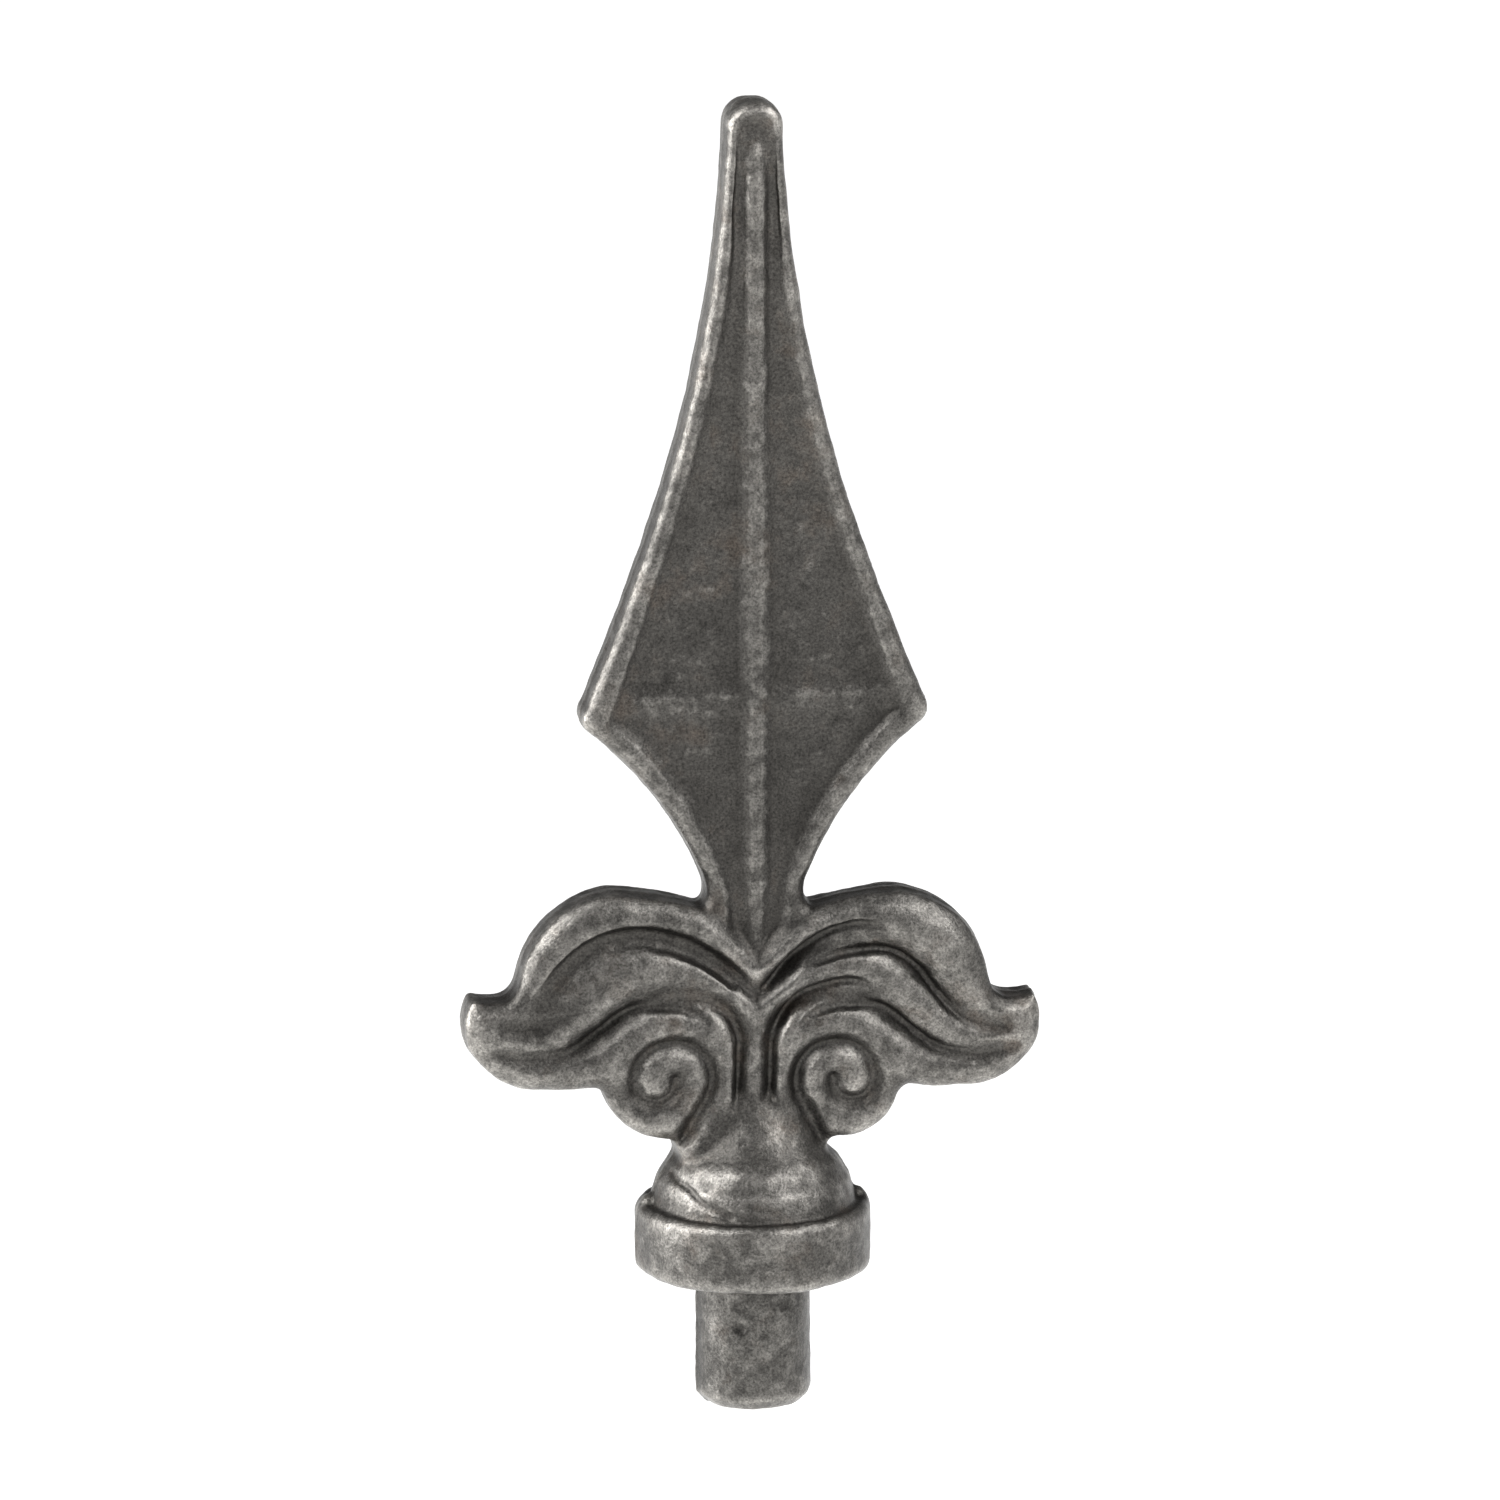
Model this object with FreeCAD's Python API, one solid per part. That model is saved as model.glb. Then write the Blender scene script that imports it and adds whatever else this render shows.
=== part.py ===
"""Cast railing spear finial: a spear blade on two leaf scrolls, a bulb, a collar and a spigot.

It is one casting, alike on the front and the back. Left mirrors right, but for the wings,
which lean and sit a little to one side together, as the casting's pattern was made.
Millimetres, +Z up, the front faces -Y. The origin is on the spigot's axis, in the
plane where the collar's underside sits on the rail.
"""
import FreeCAD, Part
import math
import os

from FreeCAD import Vector

os.makedirs("parts", exist_ok=True)

# Spigot, collar and bulb
SPIGOT_RADIUS = 6.0
SPIGOT_LENGTH = 14.6
SPIGOT_END_CHAMFER = 1.1
COLLAR_RADIUS = 12.5
COLLAR_HEIGHT = 7.4
COLLAR_CHAMFER = 0.7
BULB_SECTION_RADIUS = 10.1
BULB_SECTION_OFFSET = 1.0
BULB_SECTION_DROP = 1.6
BULB_FACETS = 3
BULB_LOW_ANGLE = 9.0
BULB_TOP_ANGLE = 52.0
BULB_NECK_RADIUS = 5.2
BULB_NECK_HEIGHT = 10.0
BULB_PEAK_RADIUS = 4.4
BULB_PEAK_HEIGHT = 11.3

# Scroll wings: thick leaf plates with grooves carved into both faces
WING_REACH = 30.8
WING_FOOT_RISE = 7.6
WING_HEIGHT = 26.3
WING_LEAN = 1.7
WING_SIDE_SHIFT = -0.2
WING_HALF_DEPTH = 4.5
WING_EDGE = ((1.2, 0.0), (0.0, 1.2))
GROOVE_DEPTH = 1.9
LEAF_GROOVE_LEAN = 0.28
LEAF_PROFILE = ((1.0, -0.01), (0.46, 0.42), (0.08, 1.0))
VOLUTE_PROFILE = ((1.0, -0.01), (0.46, 0.42), (0.08, 1.0))
STEM_GROOVE_OFFSET = 1.45
VOLUTE_RADIUS = 4.2
VOLUTE_INNER_RADIUS = 2.3
VOLUTE_START_ANGLE = 215.0
LEAF_SPLIT_REACHES = (1.5, 1.9, 2.7, 2.7, 2.0, 0.7)
LEAF_SPLIT_RUN_OUT = 1.2
LOW_SPLIT_REACHES = (1.2, 1.3, 1.8, 1.9, 2.4, 2.4, 1.8, 0.7)
LOW_SPLIT_RUN_OUT = 1.8
VOLUTE_REACHES = (1.4, 1.45, 1.25, 1.3, 1.1)
VOLUTE_RUN_OUT = 0.5
GROOVE_ENTRY = 2.0

# Blade: a rimmed spear with a round rib down each sunk face
NECK_RISE = 0.8
NECK_HALF_WIDTH = 5.15
NECK_BOW = 0.35
LOWER_EDGE_HEIGHT = 16.9
LOWER_EDGE_BOW = 1.4
SHOULDER_HALF_WIDTH = 18.4
SHOULDER_ROUND = 1.4
STRAIGHT_HEIGHT = 18.6
STRAIGHT_BOW = 0.12
WAIST_HALF_WIDTH = 11.4
FLARE_HEIGHT = 43.7
FLARE_BOW = 1.62
TIP_HALF_WIDTH = 2.95
TIP_HEIGHT = 3.2
BLADE_HALF_DEPTH = 3.3
BLADE_EDGE = ((0.8, 0.0), (0.0, 0.9))
PANEL_HALF_DEPTH = 2.25
PANEL_DRAFT = 1.0
RIM_WIDTH_TIP = 0.9
RIM_WIDTH = 1.6
LOWER_RIM_WIDTH = 2.0
RIB_CREST = 3.35
RIB_HALF_WIDTH = 2.2
RIB_SECTION = ((1.0, 0.0), (0.7, 0.55), (0.26, 1.0), (-0.26, 1.0), (-0.7, 0.55), (-1.0, 0.0))
RIB_ROOT_DEPTH = 0.3
CROSS_RIB_HEIGHT = 0.3
CROSS_RIB_HALF_WIDTH = 1.5
CROSS_RIB_RISE = 1.3

# Heights that follow from the sizes above
BULB_SECTION_Z = COLLAR_HEIGHT - BULB_SECTION_DROP
WING_FOOT_Z = COLLAR_HEIGHT + WING_FOOT_RISE
WING_TOP_Z = WING_FOOT_Z + WING_HEIGHT
NECK_Z = WING_TOP_Z + NECK_RISE
LOW_SHOULDER_Z = NECK_Z + LOWER_EDGE_HEIGHT
SHOULDER_Z = LOW_SHOULDER_Z + SHOULDER_ROUND
WAIST_Z = SHOULDER_Z + STRAIGHT_HEIGHT
FLARE_TOP_Z = WAIST_Z + FLARE_HEIGHT
TIP_Z = FLARE_TOP_Z + TIP_HEIGHT


def at(x, z, y=0.0):
    """A point by its place across and up the front view, and its depth."""
    return Vector(x, y, z)


def on_wing(across, up):
    """A point of the wing, in hundredths of the wing's reach and height."""
    return at(across * WING_REACH / 100, WING_FOOT_Z + up * WING_HEIGHT / 100)


def line(start, end):
    return Part.LineSegment(start, end).toShape()


def arc(start, middle, end):
    return Part.Arc(start, middle, end).toShape()


def bow_middle(start, end, bow):
    """Middle of an arc that stands off its chord by bow, to the inner side of the outline."""
    return (start + end) * 0.5 + inwards(end - start) * bow


def polyline(points):
    return [line(start, end) for start, end in zip(points, points[1:])]


def on_left(point):
    """The same point in the left half, or None for the middle of a straight edge."""
    return point and Vector(-point.x, point.y, point.z)


def both_halves(side):
    """A closed outline from its right side, which starts and ends in the middle plane.

    An outline runs clockwise and is a list of (start, middle): the edge from that start to
    the next one is an arc through the middle, or straight where there is none.
    """
    starts = [start for start, middle in side]
    middles = [middle for start, middle in side[:-1]]
    left = [(on_left(start), on_left(middle))
            for start, middle in zip(reversed(starts[1:]), reversed(middles))]
    return side[:-1] + left


def outline_edges(outline):
    edges = []
    for (start, middle), (end, _) in zip(outline, outline[1:] + outline[:1]):
        edges.append(arc(start, middle, end) if middle else line(start, end))
    return edges


def drawn_in(outline, inset):
    """The outline with every point moved inwards, square to the edge there."""
    edges = outline_edges(outline)
    moved = []
    for index, edge in enumerate(edges):
        before = edges[index - 1]
        along = before.tangentAt(before.LastParameter) + edge.tangentAt(edge.FirstParameter)
        start, middle = outline[index]
        if middle:
            middle = middle + inwards(edge.tangentAt(edge.Curve.parameter(middle))) * inset
        moved.append((start + inwards(along) * inset, middle))
    return moved


def inwards(along):
    """The inner side of a clockwise outline's direction."""
    return Vector(along.z, 0, -along.x).normalize()


def level(outline, depth):
    """The outline as a wire at a depth."""
    wire = Part.Wire(outline_edges(outline))
    wire.translate(Vector(0, depth, 0))
    return wire


def eased_plate(outline, half_depth, slopes):
    """A plate of the outline, its edges eased by slopes of (inset, drop from the face)."""
    front = [level(drawn_in(outline, inset), drop - half_depth) for inset, drop in slopes]
    back = [level(drawn_in(outline, inset), half_depth - drop) for inset, drop in reversed(slopes)]
    return Part.makeLoft(front + back, True, True)


def both_faces(solids):
    """Solids of the front, and the same behind."""
    return solids + [solid.mirror(Vector(), Vector(0, 1, 0)) for solid in solids]


def rounded_path(points, radii):
    """A path of straight runs through the points, its inner corners rounded by arcs.

    Like an outline it is a list of (start, middle), and its last entry is the end.
    """
    path = [(points[0], None)]
    for before, corner, after, radius in zip(points, points[1:], points[2:], radii):
        inward = (corner - before).normalize()
        outward = (after - corner).normalize()
        half_turn = inward.getAngle(outward) / 2
        bisector = (outward - inward).normalize()
        begin = corner - inward * radius * math.tan(half_turn)
        middle = corner + bisector * radius * (1 / math.cos(half_turn) - 1)
        path.append((begin, middle))
        path.append((corner + outward * radius * math.tan(half_turn), None))
    return path + [(points[-1], None)]


def path_edges(path):
    return [arc(start, middle, end) if middle else line(start, end)
            for (start, middle), (end, _) in zip(path, path[1:])]


def ribbon(path, spreads, run_out):
    """The closed outline round a path, from its spreads of (to the left, to the right).

    There is one spread for each place in the path. The path's end is drawn back by the
    run-out, which makes a groove shallower there.
    """
    edges = path_edges(path)
    forward = [edge.tangentAt(edge.FirstParameter) for edge in edges]
    forward.append(edges[-1].tangentAt(edges[-1].LastParameter))
    points = [point for point, middle in path]
    points[-1] = points[-1] - forward[-1] * run_out
    left, right = [], []
    for side, spread in ((left, 0), (right, 1)):
        for index, point in enumerate(points):
            middle = path[index][1]
            if middle:
                across = inwards(edges[index].tangentAt(edges[index].Curve.parameter(middle)))
                middle = middle + across * (spreads[index][spread] + spreads[index + 1][spread]) / 2
            side.append((point + inwards(forward[index]) * spreads[index][spread], middle))
    back_middles = [middle for point, middle in right[-2::-1]] + [None]
    back_points = [point for point, middle in right[::-1]]
    return left + list(zip(back_points, back_middles))


def groove(path, profile, reaches, run_out, lean=0):
    """A cutter along a path in the wing's front face, its end running out up a slope.

    The profile gives the groove's width and depth from the face down, as shares.
    Its bottom lies off the path by the lean, a share of the reach: the wall on that side is
    steep, and the other one is a long slope.
    """
    levels = []
    for share, down in profile:
        spreads = [(reach * (lean * down - share), reach * (lean * down + share)) for reach in reaches]
        levels.append(level(ribbon(path, spreads, run_out * down),
                            GROOVE_DEPTH * down - WING_HALF_DEPTH))
    return Part.makeLoft(levels, True, True)


def bulb_facet(share):
    """A corner of the bulb's outline, from 0 at the collar to 1 under its neck."""
    angle = math.radians(BULB_LOW_ANGLE + (BULB_TOP_ANGLE - BULB_LOW_ANGLE) * share)
    return at(BULB_SECTION_OFFSET + BULB_SECTION_RADIUS * math.cos(angle),
              BULB_SECTION_Z + BULB_SECTION_RADIUS * math.sin(angle))


def base():
    """Spigot, collar and bulb with its neck, turned about the axis."""
    peak_z = COLLAR_HEIGHT + BULB_PEAK_HEIGHT
    bulb = [bulb_facet(1 - index / BULB_FACETS) for index in range(BULB_FACETS + 1)]
    turned = [
        at(0, peak_z),
        at(BULB_PEAK_RADIUS, peak_z),
        at(BULB_NECK_RADIUS, COLLAR_HEIGHT + BULB_NECK_HEIGHT),
    ] + bulb + [
        at(bulb[-1].x, COLLAR_HEIGHT),
        at(COLLAR_RADIUS - COLLAR_CHAMFER, COLLAR_HEIGHT),
        at(COLLAR_RADIUS, COLLAR_HEIGHT - COLLAR_CHAMFER),
        at(COLLAR_RADIUS, COLLAR_CHAMFER),
        at(COLLAR_RADIUS - COLLAR_CHAMFER, 0),
        at(SPIGOT_RADIUS, 0),
        at(SPIGOT_RADIUS, -SPIGOT_LENGTH + SPIGOT_END_CHAMFER),
        at(SPIGOT_RADIUS - SPIGOT_END_CHAMFER, -SPIGOT_LENGTH),
        at(0, -SPIGOT_LENGTH),
    ]
    return Part.Face(Part.Wire(polyline(turned + turned[:1]))).revolve(Vector(), Vector(0, 0, 1), 360)


def wing_outline():
    """The right wing, from the V under the neck over the leaf to its pointed tip and back."""
    return [
        (on_wing(-7, 67), None),
        (on_wing(19, 93.4), on_wing(33, 97.5)),
        (on_wing(50, 99.7), on_wing(72, 87)),
        (on_wing(81.4, 63.5), on_wing(84.5, 57.2)),
        (on_wing(90, 55.4), on_wing(94, 55.6)),
        (on_wing(97.6, 57), on_wing(100, 47)),
        (on_wing(97.2, 34), on_wing(88.5, 24)),
        (on_wing(72, 19.6), on_wing(63, 19)),
        (on_wing(55, 20.3), on_wing(52.2, 19)),
        (on_wing(50.6, 15.2), on_wing(42.8, 3.6)),
        (on_wing(30.5, -0.9), on_wing(27.5, -1.7)),
        (on_wing(26.3, -4.2), None),
        (on_wing(20, -20), None),
        (on_wing(-7, -20), None),
    ]


def volute_path():
    """The volute's groove: from the wing's lower corner round its roll and into the eye."""
    middle = on_wing(14.5, 23.5) + at(VOLUTE_RADIUS, 0)
    over = middle + at(VOLUTE_RADIUS, 0)
    under = over - at(2 * VOLUTE_INNER_RADIUS, 0)
    return [
        (on_wing(25, -3), None),
        (middle + around(VOLUTE_START_ANGLE), middle + around(VOLUTE_START_ANGLE / 2)),
        (over, over - at(VOLUTE_INNER_RADIUS, VOLUTE_INNER_RADIUS)),
        (under, None),
        (under + at(0.2, 1.2), None),
    ]


def around(angle):
    """From the middle of the volute to its groove's outer turn, at an angle from the right."""
    turn = math.radians(angle)
    return at(VOLUTE_RADIUS * math.cos(turn), VOLUTE_RADIUS * math.sin(turn))


def wing_grooves():
    """Cutters for the right wing's front face."""
    leaf_split = rounded_path(
        [on_wing(-6, 54), on_wing(34.5, 95.5), on_wing(76, 47.8), on_wing(90, 45)],
        [0.314 * WING_REACH, 0.196 * WING_REACH])
    low_split = rounded_path(
        [at(STEM_GROOVE_OFFSET, WING_FOOT_Z - GROOVE_ENTRY), at(STEM_GROOVE_OFFSET, on_wing(0, 51.7).z),
         on_wing(30.7, 64.6), on_wing(68.6, 32.7), on_wing(94, 37)],
        [0.163 * WING_REACH, 0.268 * WING_REACH, 0.314 * WING_REACH])
    return [
        groove(leaf_split, LEAF_PROFILE, LEAF_SPLIT_REACHES, LEAF_SPLIT_RUN_OUT, LEAF_GROOVE_LEAN),
        groove(low_split, LEAF_PROFILE, LOW_SPLIT_REACHES, LOW_SPLIT_RUN_OUT, LEAF_GROOVE_LEAN),
        groove(volute_path(), VOLUTE_PROFILE, VOLUTE_REACHES, VOLUTE_RUN_OUT),
    ]


def wing():
    """The right wing: eased outline, carved faces, cut square where it meets the left one."""
    plate = eased_plate(wing_outline(), WING_HALF_DEPTH, WING_EDGE)
    right_half = Part.makeBox(2 * WING_REACH, 4 * WING_HALF_DEPTH, TIP_Z,
                              Vector(0, -2 * WING_HALF_DEPTH, 0))
    return plate.common(right_half).cut(both_faces(wing_grooves()))


def crown_to_waist(rim_at_tip, rim):
    """Right side from the crown to just before the waist, drawn in by the rim's width."""
    crown = at(0, TIP_Z - rim_at_tip)
    temple = at(TIP_HALF_WIDTH - rim_at_tip, FLARE_TOP_Z)
    brow = at(temple.x * 0.77, temple.z + (crown.z - temple.z) * 0.78)
    waist = at(WAIST_HALF_WIDTH - rim, WAIST_Z)
    return [(crown, brow), (temple, bow_middle(temple, waist, FLARE_BOW))], waist


def blade_side():
    """Right side of the blade's outline, ending inside the leaves."""
    side, waist = crown_to_waist(0, 0)
    high = at(SHOULDER_HALF_WIDTH - 0.4, SHOULDER_Z + SHOULDER_ROUND)
    low = at(SHOULDER_HALF_WIDTH - 1.0, LOW_SHOULDER_Z)
    neck = at(NECK_HALF_WIDTH, NECK_Z)
    notch = on_wing(19.5, 93)
    return side + [
        (waist, bow_middle(waist, high, STRAIGHT_BOW)),
        (high, at(SHOULDER_HALF_WIDTH, SHOULDER_Z)),
        (low, bow_middle(low, neck, LOWER_EDGE_BOW)),
        (neck, bow_middle(neck, notch, NECK_BOW)),
        (notch, None),
        (on_wing(0, 60), None),
    ]


def pocket():
    """The front face's sunk panel, down the neck to a V between the leaves, with sloping sides."""
    side, waist = crown_to_waist(RIM_WIDTH_TIP, RIM_WIDTH)
    corner = at(SHOULDER_HALF_WIDTH - 1.3 * LOWER_RIM_WIDTH, SHOULDER_Z + 0.2 * RIM_WIDTH)
    neck = at(NECK_HALF_WIDTH - 0.8 * LOWER_RIM_WIDTH, NECK_Z)
    outline = both_halves(side + [
        (waist, None),
        (corner, bow_middle(corner, neck, LOWER_EDGE_BOW)),
        (neck, None),
        (on_wing(10.5, 85), None),
        (on_wing(0, 74), None),
    ])
    floor = drawn_in(outline, PANEL_DRAFT)
    return Part.makeLoft([level(outline, -BLADE_HALF_DEPTH - 0.01),
                          level(floor, -PANEL_HALF_DEPTH)], True, True)


def rib():
    """The round rib down the front panel, thin at the tip and ending in the leaves' V."""
    stations = (
        (TIP_Z - 6.0, 0.3, 0.4),
        (TIP_Z - 28.0, 0.8, 1.0),
        (SHOULDER_Z + 12.0, 1.0, 1.0),
        (NECK_Z, 0.8, 1.0),
        (NECK_Z - 8.0, 0.4, 0.8),
    )
    root = PANEL_HALF_DEPTH - RIB_ROOT_DEPTH
    sections = []
    for z, width, height in stations:
        points = [at(RIB_HALF_WIDTH * width * share, z, -root - (RIB_CREST - root) * height * rise)
                  for share, rise in RIB_SECTION]
        sections.append(Part.Wire(polyline(points + points[:1])))
    return Part.makeLoft(sections, True, True)


def cross_rib():
    """The low rib across the panel at the blade's widest place."""
    reach = SHOULDER_HALF_WIDTH - 1.5 * RIM_WIDTH
    top = CROSS_RIB_HALF_WIDTH * 0.45
    root = PANEL_HALF_DEPTH - RIB_ROOT_DEPTH
    crest = PANEL_HALF_DEPTH + CROSS_RIB_HEIGHT
    z = SHOULDER_Z + CROSS_RIB_RISE
    points = [at(-reach, z - CROSS_RIB_HALF_WIDTH, -root), at(-reach, z - top, -crest),
              at(-reach, z + top, -crest), at(-reach, z + CROSS_RIB_HALF_WIDTH, -root)]
    return Part.Face(Part.Wire(polyline(points + points[:1]))).extrude(Vector(2 * reach, 0, 0))


def blade():
    """The rimmed blade with its neck reaching down between the leaves."""
    solid = eased_plate(both_halves(blade_side()), BLADE_HALF_DEPTH, BLADE_EDGE)
    return solid.cut(both_faces([pocket()])).fuse(both_faces([rib(), cross_rib()]))


def main():
    right = wing()
    wings = [right, right.mirror(Vector(), Vector(1, 0, 0))]
    for side in wings:
        side.rotate(at(0, WING_FOOT_Z + WING_HEIGHT / 2), Vector(0, 1, 0), WING_LEAN)
        side.translate(at(WING_SIDE_SHIFT, 0))
    finial = base().fuse([blade()] + wings).removeSplitter()
    finial = finial.Solids[0]
    finial.exportStep("parts/spear_finial.step")
    print("spear_finial", finial.isValid(), round(finial.Volume / 1000, 2), "cm3", len(finial.Faces), "faces")


main()
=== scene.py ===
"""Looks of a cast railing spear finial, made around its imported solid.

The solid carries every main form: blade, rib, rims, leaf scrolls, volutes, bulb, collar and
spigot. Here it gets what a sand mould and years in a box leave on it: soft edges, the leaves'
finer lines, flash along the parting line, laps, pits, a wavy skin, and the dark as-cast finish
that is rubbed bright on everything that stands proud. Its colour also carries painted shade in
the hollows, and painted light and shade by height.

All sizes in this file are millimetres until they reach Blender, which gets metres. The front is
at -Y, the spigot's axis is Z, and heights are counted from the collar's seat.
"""

import logging
import math
from dataclasses import dataclass
from enum import Enum

import bpy
import numpy as np
from mathutils import Euler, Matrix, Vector

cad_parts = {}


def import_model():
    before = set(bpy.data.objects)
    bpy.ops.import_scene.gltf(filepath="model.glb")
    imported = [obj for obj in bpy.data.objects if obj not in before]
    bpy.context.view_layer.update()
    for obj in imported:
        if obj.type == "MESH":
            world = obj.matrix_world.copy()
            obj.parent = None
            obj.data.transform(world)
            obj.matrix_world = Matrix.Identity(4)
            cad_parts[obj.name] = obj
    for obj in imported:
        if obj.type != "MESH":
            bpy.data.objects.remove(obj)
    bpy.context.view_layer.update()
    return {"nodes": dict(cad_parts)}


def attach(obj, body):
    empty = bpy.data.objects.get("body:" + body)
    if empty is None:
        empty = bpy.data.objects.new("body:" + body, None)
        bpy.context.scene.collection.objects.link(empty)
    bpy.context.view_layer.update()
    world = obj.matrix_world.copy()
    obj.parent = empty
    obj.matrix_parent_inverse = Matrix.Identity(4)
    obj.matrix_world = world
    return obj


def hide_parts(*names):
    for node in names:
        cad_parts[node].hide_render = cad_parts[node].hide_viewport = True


log = logging.getLogger("finial")

MM = 0.001
WING_HALF_DEPTH = 4.5

# How far a smoothing takes a point to its neighbours' mean in one pass
HALF_WAY = 0.5

# What a share does along a span of two or of four numbers
RISE = (0.0, 1.0)
FALL = (1.0, 0.0)
RISE_AND_FALL = (0.0, 1.0, 1.0, 0.0)

# Sockets that go by number, because their names aren't unique
VALUE, FROM_MIN, FROM_MAX, TO_MIN, TO_MAX = range(5)
FACTOR, COLOUR_A, COLOUR_B, MIXED = 0, 6, 7, 2

Spot = tuple[float, float, float]
Span = tuple[float, float]
LongSpan = tuple[float, float, float, float]


class Side(Enum):
    """The two wings, and the sign of their side of the middle plane."""

    LEFT = -1.0
    RIGHT = 1.0


class Face(Enum):
    """The two broad faces of the casting, and the sign of their depth."""

    FRONT = -1.0
    BACK = 1.0


class Skin(Enum):
    """Which way a worked detail changes the casting's skin."""

    CUT = "cut"
    RAISED = "raised"


def linear(hex_colour: str) -> tuple[float, float, float, float]:
    """Turns an sRGB hex colour to the linear values that a shader takes.

    Args:
        hex_colour: six hex digits, such as "8a8b8c".

    Returns:
        Red, green, blue and alpha.
    """
    shares = [int(hex_colour[i:i + 2], 16) / 255 for i in (0, 2, 4)]
    bent = [s / 12.92 if s <= 0.04045 else ((s + 0.055) / 1.055) ** 2.4 for s in shares]
    return bent[0], bent[1], bent[2], 1.0


def add_node(tree: bpy.types.NodeTree, kind: str, settings: dict | None = None,
             links: dict | None = None) -> bpy.types.Node:
    """Adds one node to a tree.

    Args:
        tree: the material's or world's node tree.
        kind: Blender's name for the node type.
        settings: values by input name or number, or by the node's own property name.
        links: output sockets by the input name or number that they feed.

    Returns:
        The new node.
    """
    node = tree.nodes.new(kind)
    for name, value in (settings or {}).items():
        if isinstance(name, int) or name in node.inputs:
            node.inputs[name].default_value = value
        else:
            setattr(node, name, value)
    for name, socket in (links or {}).items():
        tree.links.new(socket, node.inputs[name])
    return node


def only(piece: bpy.types.Object) -> None:
    """Leaves one object selected and active.

    Args:
        piece: the object.
    """
    bpy.ops.object.select_all(action="DESELECT")
    piece.select_set(True)
    bpy.context.view_layer.objects.active = piece


def twin(piece: bpy.types.Object, name: str) -> bpy.types.Object:
    """Copies an object with its mesh.

    Args:
        piece: the object.
        name: the copy's name.

    Returns:
        The copy, in the scene.
    """
    copy = bpy.data.objects.new(name, piece.data.copy())
    bpy.context.scene.collection.objects.link(copy)
    return copy


def triangle_count(piece: bpy.types.Object) -> int:
    """How many triangles a mesh makes."""
    return sum(len(face.vertices) - 2 for face in piece.data.polygons)


def apply_modifier(piece: bpy.types.Object, kind: str, **settings: object) -> None:
    """Adds a modifier to a piece and applies it.

    Args:
        piece: the mesh object.
        kind: the modifier's type.
        settings: its values by name.
    """
    only(piece)
    modifier = piece.modifiers.new(kind.lower(), kind)
    for name, value in settings.items():
        setattr(modifier, name, value)
    bpy.ops.object.modifier_apply(modifier=modifier.name)


def joined(pieces: list[bpy.types.Object], name: str) -> bpy.types.Object:
    """Joins mesh objects into one.

    Args:
        pieces: the objects, at least one.
        name: the new object's name.

    Returns:
        The one object left.
    """
    only(pieces[0])
    for piece in pieces[1:]:
        piece.select_set(True)
    if len(pieces) > 1:
        bpy.ops.object.join()
    pieces[0].name = name
    return pieces[0]


def stroke(name: str, spots: list[Spot], radius: float, ends: float = 0.35,
           stretch: float = 1.0) -> bpy.types.Object:
    """Draws a round stroke, as a carver's gouge or a bead of metal leaves it, thinner at its ends.

    Args:
        name: the stroke's name.
        spots: its control points in millimetres, two or more.
        radius: half its thickness in the middle, in millimetres.
        ends: the share of that radius at its two ends.
        stretch: how many times deeper than wide the stroke is.

    Returns:
        A closed mesh object at the origin.
    """
    bpy.ops.curve.primitive_nurbs_path_add(radius=1.0, location=(0.0, 0.0, 0.0))
    line = bpy.context.active_object
    line.name = name
    bpy.ops.object.mode_set(mode="EDIT")
    bpy.ops.curve.select_all(action="SELECT")
    bpy.ops.curve.delete(type="VERT")
    for across, depth, up in spots:
        bpy.ops.curve.vertex_add(location=Vector((across, depth / stretch, up)) * MM)
    bpy.ops.object.mode_set(mode="OBJECT")
    spline = line.data.splines[0]
    spline.use_endpoint_u = True
    spline.order_u = 3
    last = len(spline.points) - 1
    # The stroke is full but for the last quarter at either end
    for index, point in enumerate(spline.points):
        fullness = min(1.0, 1.4 * math.sin(math.pi * index / last))
        point.radius = ends + (1.0 - ends) * fullness
    line.data.resolution_u = 8
    line.data.bevel_depth = radius * MM
    line.data.bevel_resolution = 3
    line.data.use_fill_caps = True
    line.scale = (1.0, stretch, 1.0)
    only(line)
    bpy.ops.object.convert(target="MESH")
    bpy.ops.object.transform_apply(location=True, rotation=True, scale=True)
    return line


def blister(name: str, spot: Spot, sizes: Spot, turn: float = 0.0) -> bpy.types.Object:
    """A pebble-like lump, for a pit when it is cut and a blister when it is raised.

    Args:
        name: the lump's name.
        spot: its middle, in millimetres.
        sizes: its half lengths across, in depth and up, in millimetres.
        turn: how far it is turned in the front view, in degrees.

    Returns:
        A closed mesh object at the origin.
    """
    bpy.ops.mesh.primitive_ico_sphere_add(subdivisions=3, radius=1.0, location=Vector(spot) * MM)
    lump = bpy.context.active_object
    lump.name = name
    lump.scale = Vector(sizes) * MM
    lump.rotation_euler = (0.0, math.radians(turn), 0.0)
    only(lump)
    bpy.ops.object.transform_apply(location=True, rotation=True, scale=True)
    return lump


def sampled(plan: np.ndarray, places: np.ndarray) -> np.ndarray:
    """Reads a grid of numbers, also between its cells.

    Args:
        plan: the grid.
        places: for each point its place, in cells along the grid's two sides.

    Returns:
        For each point a mix of the four numbers round it.
    """
    places = np.clip(places, 0.0, np.subtract(plan.shape, 2.0))
    first = np.floor(places).astype(int)
    part_x, part_z = (places - first).T
    x, z = first.T
    return ((plan[x, z] * (1 - part_x) + plan[x + 1, z] * part_x) * (1 - part_z)
            + (plan[x, z + 1] * (1 - part_x) + plan[x + 1, z + 1] * part_x) * part_z)


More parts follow.
